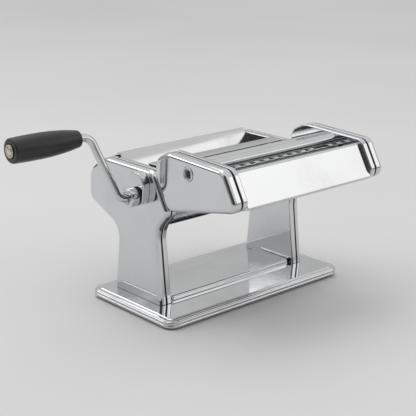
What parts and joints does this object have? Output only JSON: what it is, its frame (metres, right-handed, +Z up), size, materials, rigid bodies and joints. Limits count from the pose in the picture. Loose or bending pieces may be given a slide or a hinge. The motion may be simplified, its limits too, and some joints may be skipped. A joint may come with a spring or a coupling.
{
  "type": "pasta roller machine",
  "caption": "Hand-cranked pasta roller: a chrome frame with smooth sheet rollers, a thickness knob, a removable crank, and a lift-off cutter head with wide and narrow cutting rollers.",
  "frame": {"origin": "middle of the box round the whole machine, crank included, on the surface it stands on", "axes": "+X along the rollers away from the crank, -Y towards the cutter head, +Z up"},
  "size_m": [0.356, 0.223, 0.1938],
  "materials": {
    "chrome": "mirror-bright chrome plate on pressed steel",
    "polished_steel": "polished stainless sheet",
    "roller_steel": "fine-turned hardened steel",
    "zinc_steel": "dull zinc-plated steel",
    "brass": "satin brass",
    "black_plastic": "satin moulded plastic",
    "black_rubber": "matt rubber",
    "nylon": "natural nylon"
  },
  "bodies": {
    "machine": {"base_plate": "chrome", "foot_front_near": "black_rubber", "foot_back_near": "black_rubber", "foot_front_far": "black_rubber", "foot_back_far": "black_rubber", "near_outer_shell": "chrome", "near_inner_shell": "chrome", "far_outer_shell": "chrome", "far_inner_shell": "chrome", "top_plate": "polished_steel", "front_cover": "chrome", "hopper_guide": "polished_steel", "back_cover": "chrome", "drive_scraper": "zinc_steel", "adjust_scraper": "zinc_steel", "tie_rod_front": "zinc_steel", "tie_rod_back": "zinc_steel", "tie_rod_top": "zinc_steel", "near_cutter_rail": "zinc_steel", "far_cutter_rail": "zinc_steel", "far_drive_bush": "nylon", "drive_boss": "chrome", "far_gap_bush": "nylon", "dial_ring": "chrome"},
    "drive_roller": {"drive_roller": "roller_steel", "drive_gear": "zinc_steel", "crank_collar": "chrome", "collar_ring": "black_rubber"},
    "crank": {"crank_rod": "chrome", "grip_washer": "brass"},
    "grip": {"crank_grip": "black_plastic"},
    "gap_cam": {"gap_cam": "zinc_steel"},
    "knob": {"gap_knob": "black_plastic", "knob_pin": "zinc_steel"},
    "roller_axle": {"roller_axle": "zinc_steel"},
    "adjustable_roller": {"adjustable_roller": "roller_steel", "adjustable_gear": "zinc_steel"},
    "cutter_head": {"near_cutter_outer_shell": "chrome", "near_cutter_inner_shell": "chrome", "far_cutter_outer_shell": "chrome", "far_cutter_inner_shell": "chrome", "cutter_socket_bush": "polished_steel", "cutter_front_panel": "chrome", "cutter_divider": "polished_steel", "cutter_back_plate": "polished_steel", "wide_stripper": "zinc_steel", "narrow_stripper": "zinc_steel", "cutter_tie_back": "zinc_steel", "cutter_tie_middle": "zinc_steel", "cutter_tie_front": "zinc_steel"},
    "cutter_pinion": {"cutter_pinion": "roller_steel"},
    "cutter_idler": {"cutter_idler": "zinc_steel"},
    "wide_roller_front": {"wide_roller_front": "roller_steel"},
    "wide_roller_back": {"wide_roller_back": "roller_steel"},
    "narrow_roller_back": {"narrow_roller_back": "roller_steel"},
    "narrow_roller_front": {"narrow_roller_front": "roller_steel"}
  },
  "joints": [
    {"name": "crank_turn", "type": "hinge", "parent": "machine", "child": "drive_roller", "pos_m": [0.05805, 0.02107, 0.1195], "axis": [1, 0, 0], "continuous": true},
    {"name": "crank_pull", "type": "slide", "parent": "drive_roller", "child": "crank", "axis": [-1, 0, 0], "range_m": [0, 0.025]},
    {"name": "grip_spin", "type": "hinge", "parent": "crank", "child": "grip", "pos_m": [-0.13795, 0.03977, 0.1815], "axis": [1, 0, 0], "continuous": true},
    {"name": "gap_turn", "type": "hinge", "parent": "machine", "child": "gap_cam", "pos_m": [0.15805, 0.05427, 0.1195], "axis": [1, 0, 0], "range_deg": [0, 140]},
    {"name": "knob_pull", "type": "slide", "parent": "gap_cam", "child": "knob", "axis": [1, 0, 0], "range_m": [0, 0.004], "stiffness_N_per_m": 400, "springref_m": -0.003},
    {"name": "gap_close", "type": "slide", "parent": "machine", "child": "roller_axle", "axis": [0, -1, 0], "range_m": [0, 0.00193]},
    {"name": "adjustable_spin", "type": "hinge", "parent": "roller_axle", "child": "adjustable_roller", "pos_m": [0.05805, 0.05537, 0.1195], "axis": [1, 0, 0], "continuous": true},
    {"name": "cutter_lift", "type": "slide", "parent": "machine", "child": "cutter_head", "axis": [0, 0.5, 0.866], "range_m": [0, 0.06]},
    {"name": "pinion_spin", "type": "hinge", "parent": "cutter_head", "child": "cutter_pinion", "pos_m": [-0.03495, -0.0485, 0.1543], "axis": [1, 0, 0], "continuous": true},
    {"name": "idler_spin", "type": "hinge", "parent": "cutter_head", "child": "cutter_idler", "pos_m": [-0.03495, -0.05941, 0.15763], "axis": [1, 0, 0], "continuous": true},
    {"name": "wide_front_spin", "type": "hinge", "parent": "cutter_head", "child": "wide_roller_front", "pos_m": [0.05805, -0.04217, 0.13939], "axis": [1, 0, 0], "continuous": true},
    {"name": "wide_back_spin", "type": "hinge", "parent": "cutter_head", "child": "wide_roller_back", "pos_m": [0.05805, -0.02297, 0.13939], "axis": [1, 0, 0], "continuous": true},
    {"name": "narrow_back_spin", "type": "hinge", "parent": "cutter_head", "child": "narrow_roller_back", "pos_m": [0.05805, -0.06735, 0.14563], "axis": [1, 0, 0], "continuous": true},
    {"name": "narrow_front_spin", "type": "hinge", "parent": "cutter_head", "child": "narrow_roller_front", "pos_m": [0.05805, -0.08656, 0.14563], "axis": [1, 0, 0], "continuous": true}
  ],
  "couplings": [
    {"joint": "adjustable_spin", "follows": "crank_turn", "ratio": -1},
    {"joint": "gap_turn", "follows": "gap_close", "rad_per_m": 1266},
    {"joint": "pinion_spin", "follows": "wide_front_spin", "ratio": -1.4545},
    {"joint": "idler_spin", "follows": "wide_front_spin", "ratio": 2},
    {"joint": "wide_back_spin", "follows": "wide_front_spin", "ratio": -1},
    {"joint": "narrow_back_spin", "follows": "wide_front_spin", "ratio": -1},
    {"joint": "narrow_front_spin", "follows": "wide_front_spin", "ratio": 1}
  ]
}
